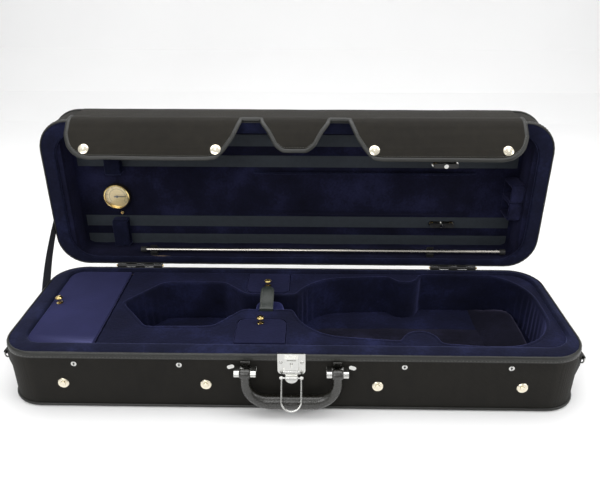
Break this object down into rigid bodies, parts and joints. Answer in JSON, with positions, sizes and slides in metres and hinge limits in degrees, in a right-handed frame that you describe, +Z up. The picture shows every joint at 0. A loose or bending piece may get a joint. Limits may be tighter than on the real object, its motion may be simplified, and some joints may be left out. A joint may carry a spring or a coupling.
{
  "type": "violin case",
  "caption": "Oblong violin case standing open, with fitted velvet bed, lidded compartments, lined lid with bow fittings, lock, folding handle and weather flap.",
  "frame": {"origin": "centre of the base's underside", "axes": "+X along the case's length, -Y to the front with the handle, +Z up"},
  "size_m": [0.818, 0.3467, 0.3417],
  "materials": {
    "bottom_canvas": "plain black canvas",
    "plywood": "thin plywood, covered",
    "canvas": "black woven nylon canvas",
    "flap_canvas": "black woven canvas with padded backing",
    "vinyl_binding": "black vinyl binding, soft sheen",
    "vinyl_tab": "black vinyl, stitched",
    "vinyl_strap": "dark green-black vinyl",
    "velvet": "dark navy velvet",
    "velvet_pad": "dark navy velvet pad",
    "velvet_pillow": "navy velvet pillow",
    "velvet_lid": "dark navy velvet lining",
    "velvet_board": "navy velvet board",
    "board_cloth": "blue-violet cloth board",
    "band_cloth": "grey-blue ribbon bands",
    "ribbon": "woven ribbon",
    "nickel": "polished nickel plate",
    "snap_nickel": "nickel plated press stud",
    "black_metal": "black japanned steel",
    "brass": "polished brass",
    "dial": "printed dial",
    "dial_glass": "clear flat glass",
    "needle_black": "black needle",
    "tube_metal": "polished tube",
    "cap_rubber": "black rubber",
    "grip_leather": "black grained leather"
  },
  "bodies": {
    "base": {"base_bottom_sheet": "bottom_canvas", "base_shell": "plywood", "base_cover": "canvas", "base_top_binding": "vinyl_binding", "base_rim": "velvet", "foam_bed": "velvet", "cavity_floor": "velvet", "end_pad": "velvet_pad", "cbout_pads": "velvet", "neck_pillow": "velvet_pillow", "hinge_base_leaves": "black_metal", "hinge_pins": "brass", "lock_plate": "nickel", "lock_cover": "nickel", "lock_screws": "nickel", "handle_brackets": "nickel", "handle_pins": "nickel", "snap_sockets": "snap_nickel", "side_rivets": "nickel", "d_ring_tabs": "vinyl_tab", "stay_ribbon": "ribbon"},
    "lid": {"lid_shell": "plywood", "lid_cover": "canvas", "lid_rim": "velvet", "lid_lining": "velvet_lid", "bow_bands": "band_cloth", "music_pocket": "velvet_lid", "frog_holders": "velvet_lid", "bow_tip_block": "velvet_lid", "spinner_plates": "nickel", "lid_screws": "brass", "hygrometer_case": "brass", "hygrometer_dial": "dial", "hygrometer_glass": "dial_glass", "tube_clips": "black_metal", "hinge_lid_leaves": "black_metal", "lid_catch": "nickel", "flap_root": "flap_canvas"},
    "flap": {"flap_fold_strip": "vinyl_binding", "flap_panel": "flap_canvas", "flap_snaps": "snap_nickel"},
    "compartment_lid": {"compartment_lid": "board_cloth", "compartment_knob": "brass"},
    "front_box_lid": {"front_box_lid": "velvet_board", "front_box_knob": "brass"},
    "rear_box_lid": {"rear_box_lid": "velvet_board", "rear_box_knob": "brass"},
    "neck_strap": {"neck_strap": "vinyl_strap"},
    "handle": {"handle_grip": "grip_leather"},
    "lock_lever": {"lock_lever": "nickel"},
    "lock_bail": {"bail_pin": "nickel", "lock_bail": "nickel"},
    "spinner_upper": {"spinner_upper": "black_metal"},
    "spinner_lower": {"spinner_lower": "black_metal"},
    "hygrometer_needle": {"hygrometer_needle": "needle_black"},
    "string_tube": {"string_tube": "tube_metal"},
    "tube_cap_left": {"tube_cap_left": "cap_rubber"},
    "tube_cap_right": {"tube_cap_right": "cap_rubber"},
    "ring_left": {"d_ring_left": "nickel"},
    "ring_right": {"d_ring_right": "nickel"}
  },
  "joints": [
    {"name": "lid_hinge", "type": "hinge", "parent": "base", "child": "lid", "pos_m": [0, 0.1241, 0.0905], "axis": [1, 0, 0], "range_deg": [0, 90], "deforming": ["stay_ribbon"]},
    {"name": "flap_turn", "type": "hinge", "parent": "lid", "child": "flap", "pos_m": [0, 0.1351, 0.3402], "axis": [1, 0, 0], "range_deg": [-68, 0]},
    {"name": "compartment_lid_hinge", "type": "hinge", "parent": "base", "child": "compartment_lid", "pos_m": [-0.272, 0.007, 0.0835], "axis": [0, -1, 0], "range_deg": [-100, 0]},
    {"name": "front_box_lid_hinge", "type": "hinge", "parent": "base", "child": "front_box_lid", "pos_m": [-0.045, -0.09, 0.0835], "axis": [-1, 0, 0], "range_deg": [-100, 0]},
    {"name": "rear_box_lid_hinge", "type": "hinge", "parent": "base", "child": "rear_box_lid", "pos_m": [-0.0425, 0.106, 0.0835], "axis": [1, 0, 0], "range_deg": [-85, 0]},
    {"name": "neck_strap_turn", "type": "hinge", "parent": "base", "child": "neck_strap", "pos_m": [-0.041, -0.0056, 0.0872], "axis": [-1, 0, 0], "range_deg": [-120, 0]},
    {"name": "handle_swing", "type": "hinge", "parent": "base", "child": "handle", "pos_m": [0, -0.1345, 0.068], "axis": [1, 0, 0], "range_deg": [-90, 0]},
    {"name": "lock_lever_turn", "type": "hinge", "parent": "base", "child": "lock_lever", "pos_m": [0, -0.126, 0.066], "axis": [1, 0, 0], "range_deg": [-50, 0]},
    {"name": "bail_swing", "type": "hinge", "parent": "lock_lever", "child": "lock_bail", "pos_m": [0, -0.13, 0.0585], "axis": [-1, 0, 0], "range_deg": [0, 117]},
    {"name": "spinner_upper_turn", "type": "hinge", "parent": "lid", "child": "spinner_upper", "pos_m": [0.242, 0.1691, 0.254], "axis": [0, 1, 0], "range_deg": [-90, 0]},
    {"name": "spinner_lower_turn", "type": "hinge", "parent": "lid", "child": "spinner_lower", "pos_m": [0.246, 0.1691, 0.1486], "axis": [0, 1, 0], "range_deg": [-90, 0]},
    {"name": "hygrometer_needle_turn", "type": "hinge", "parent": "lid", "child": "hygrometer_needle", "pos_m": [-0.3, 0.1701, 0.196], "axis": [0, 1, 0], "range_deg": [-120, 0]},
    {"name": "string_tube_lift", "type": "slide", "parent": "lid", "child": "string_tube", "axis": [0, 0.866, -0.5], "range_m": [-0.02, 0]},
    {"name": "tube_cap_left_pull", "type": "slide", "parent": "string_tube", "child": "tube_cap_left", "axis": [1, 0, 0], "range_m": [-0.007, 0]},
    {"name": "tube_cap_right_pull", "type": "slide", "parent": "string_tube", "child": "tube_cap_right", "axis": [-1, 0, 0], "range_m": [-0.007, 0]},
    {"name": "ring_left_swing", "type": "hinge", "parent": "base", "child": "ring_left", "pos_m": [-0.406, -0.069, 0.057], "axis": [0, 1, 0], "range_deg": [0, 90]},
    {"name": "ring_right_swing", "type": "hinge", "parent": "base", "child": "ring_right", "pos_m": [0.406, -0.069, 0.057], "axis": [0, -1, 0], "range_deg": [0, 90]}
  ],
  "couplings": [
    {"joint": "flap_turn", "follows": "lid_hinge", "ratio": -0.75},
    {"joint": "bail_swing", "follows": "handle_swing", "ratio": -1.3}
  ]
}
